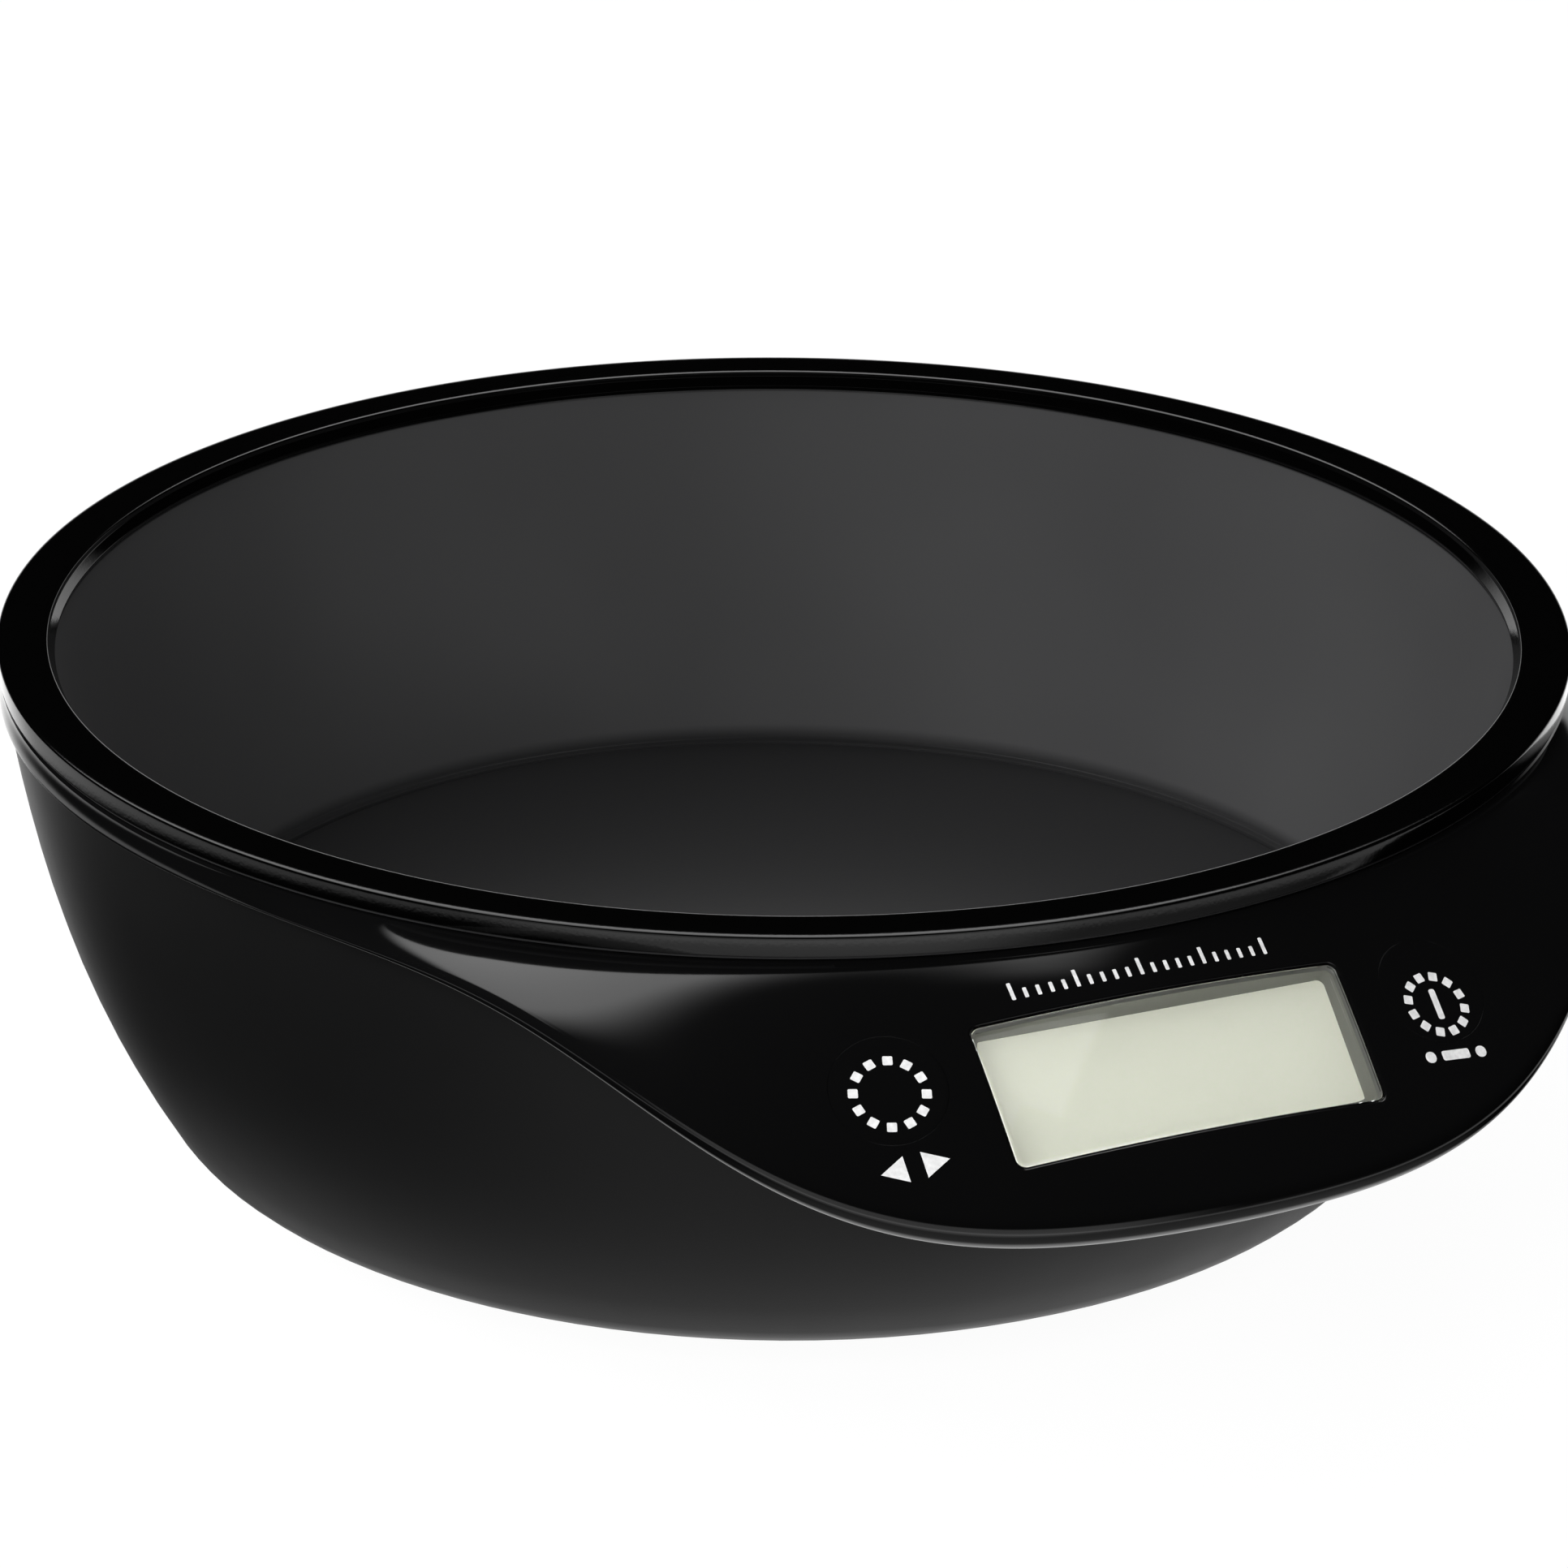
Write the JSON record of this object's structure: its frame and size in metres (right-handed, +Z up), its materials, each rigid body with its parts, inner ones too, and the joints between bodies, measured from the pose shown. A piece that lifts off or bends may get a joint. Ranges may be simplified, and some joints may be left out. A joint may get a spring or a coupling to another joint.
{
  "type": "kitchen scale",
  "caption": "Round digital kitchen scale with a lift-out mixing bowl, a gloss collar that widens into a tilted display console, press keys and a load cell on a base plate.",
  "frame": {"origin": "on the bowl's axis, in the plane the feet rest on", "axes": "+Z up along the bowl's axis, -Y towards the display console, +X to the right of someone reading the display"},
  "size_m": [0.21, 0.2381, 0.0728],
  "materials": {
    "bowl_plastic": "satin",
    "collar_gloss": "high gloss",
    "housing_satin": "satin",
    "clear_window": "polished",
    "display_glass": "matt polariser",
    "pale_plastic": "moulded",
    "contact_rubber": "striped",
    "board_laminate": "solder mask",
    "component_black": "moulded epoxy",
    "screw_steel": "zinc plated",
    "cell_steel": "bright",
    "cable_grey": "smooth",
    "wire_red": "smooth",
    "pad_rubber": "matt",
    "cell_aluminium": "milled",
    "coating_white": "soft",
    "contact_brass": "formed"
  },
  "bodies": {
    "base": {"base_plate": "housing_satin", "feet": "pad_rubber", "lower_spacer": "housing_satin", "load_cell": "cell_aluminium", "gauge_coating": "coating_white", "load_cell_screws_base": "screw_steel", "coin_cell": "cell_steel", "battery_contact_positive": "contact_brass", "battery_contact_negative": "contact_brass", "battery_wires": "wire_red"},
    "housing": {"body_shell": "housing_satin", "collar": "collar_gloss", "console_base": "housing_satin", "console_screws": "screw_steel", "display_window": "clear_window", "lcd_holder": "pale_plastic", "lcd_glass": "display_glass", "zebra_strips": "contact_rubber", "control_board": "board_laminate", "board_components": "component_black", "key_switches": "component_black", "board_screws": "screw_steel", "ribbon_cable": "cable_grey", "bowl_pads": "pad_rubber", "bottom_cover": "housing_satin", "bottom_cover_screws": "screw_steel", "upper_spacer": "housing_satin", "load_cell_screws_top": "screw_steel"},
    "bowl": {"bowl": "bowl_plastic"},
    "unit_key": {"unit_key": "collar_gloss"},
    "tare_key": {"tare_key": "collar_gloss"},
    "battery_door": {"battery_door": "housing_satin"}
  },
  "joints": [
    {"name": "weigh_travel", "type": "slide", "parent": "base", "child": "housing", "axis": [0, 0, 1], "range_m": [-0.0008, 0], "stiffness_N_per_m": 40000, "springref_m": 0.0001, "deforming": ["load_cell", "battery_wires"]},
    {"name": "bowl_lift", "type": "slide", "parent": "housing", "child": "bowl", "axis": [0, 0, 1], "range_m": [0, 0.1]},
    {"name": "unit_press", "type": "slide", "parent": "housing", "child": "unit_key", "axis": [0, 0.6665, -0.7455], "range_m": [0, 0.0004], "stiffness_N_per_m": 1500, "springref_m": -0.0005},
    {"name": "tare_press", "type": "slide", "parent": "housing", "child": "tare_key", "axis": [0, 0.6665, -0.7455], "range_m": [0, 0.0004], "stiffness_N_per_m": 1500, "springref_m": -0.0005},
    {"name": "battery_door_swing", "type": "hinge", "parent": "base", "child": "battery_door", "pos_m": [0, -0.0374, 0.0025], "axis": [-1, 0, 0], "range_deg": [0, 100]}
  ]
}
